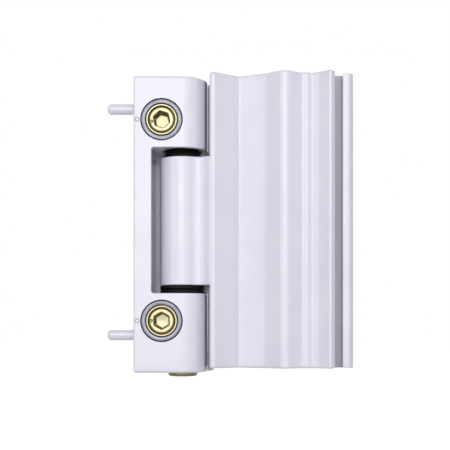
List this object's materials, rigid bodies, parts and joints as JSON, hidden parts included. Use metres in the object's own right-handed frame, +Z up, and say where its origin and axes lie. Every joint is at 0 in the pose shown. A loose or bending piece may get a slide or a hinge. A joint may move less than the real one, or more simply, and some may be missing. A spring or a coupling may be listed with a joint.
{
  "type": "rebated door hinge",
  "caption": "Adjustable hinge for rebated doors: a pocketed frame body with two eccentric adjusters, and a waved leaf that swings on an enclosed pin.",
  "frame": {"origin": "on the face of the frame body that seats on the door frame, behind the pin and level with the middle of the knuckle", "axes": "+X towards the leaf, +Y into the door frame, +Z up along the pin"},
  "size_m": [0.0998, 0.0342, 0.1223],
  "materials": {
    "white_coat": "smooth white powder coat on aluminium",
    "white_plastic": "moulded, satin",
    "grey_zinc": "turned steel, blue-grey zinc plate",
    "yellow_zinc": "turned steel, yellow passivated zinc plate",
    "ground_steel": "ground",
    "black_plastic": "moulded, satin"
  },
  "bodies": {
    "frame": {"frame_body": "white_coat", "upper_peg": "white_coat", "lower_peg": "white_coat", "upper_sleeve": "grey_zinc", "lower_sleeve": "grey_zinc", "bore_plug": "white_plastic"},
    "lift": {"hinge_pin": "ground_steel", "support_washer": "black_plastic", "thrust_ball": "ground_steel"},
    "screw": {"height_screw": "yellow_zinc"},
    "leaf": {"wing": "white_coat", "upper_bush": "black_plastic", "lower_bush": "black_plastic", "mounting_plate": "white_coat", "upper_clamp_screw": "grey_zinc", "lower_clamp_screw": "grey_zinc"},
    "upper_eccentric": {"upper_adjuster": "yellow_zinc"},
    "lower_eccentric": {"lower_adjuster": "yellow_zinc"}
  },
  "joints": [
    {"name": "height_lift", "type": "slide", "parent": "frame", "child": "lift", "axis": [0, 0, 1], "range_m": [0, 0.0015]},
    {"name": "height_turn", "type": "hinge", "parent": "lift", "child": "screw", "pos_m": [0, -0.0145, -0.0629], "axis": [0, 0, 1], "range_deg": [0, 360]},
    {"name": "leaf_swing", "type": "hinge", "parent": "lift", "child": "leaf", "pos_m": [0, -0.0145, 0], "axis": [0, 0, -1], "range_deg": [0, 95]},
    {"name": "upper_adjust", "type": "hinge", "parent": "frame", "child": "upper_eccentric", "pos_m": [-0.0079, -0.02485, 0.04035], "axis": [0, -1, 0], "range_deg": [-102, 78]},
    {"name": "lower_adjust", "type": "hinge", "parent": "frame", "child": "lower_eccentric", "pos_m": [-0.0079, -0.02485, -0.04035], "axis": [0, -1, 0], "range_deg": [-90, 90]}
  ],
  "couplings": [
    {"joint": "height_turn", "follows": "height_lift", "rad_per_m": 4188.8}
  ]
}
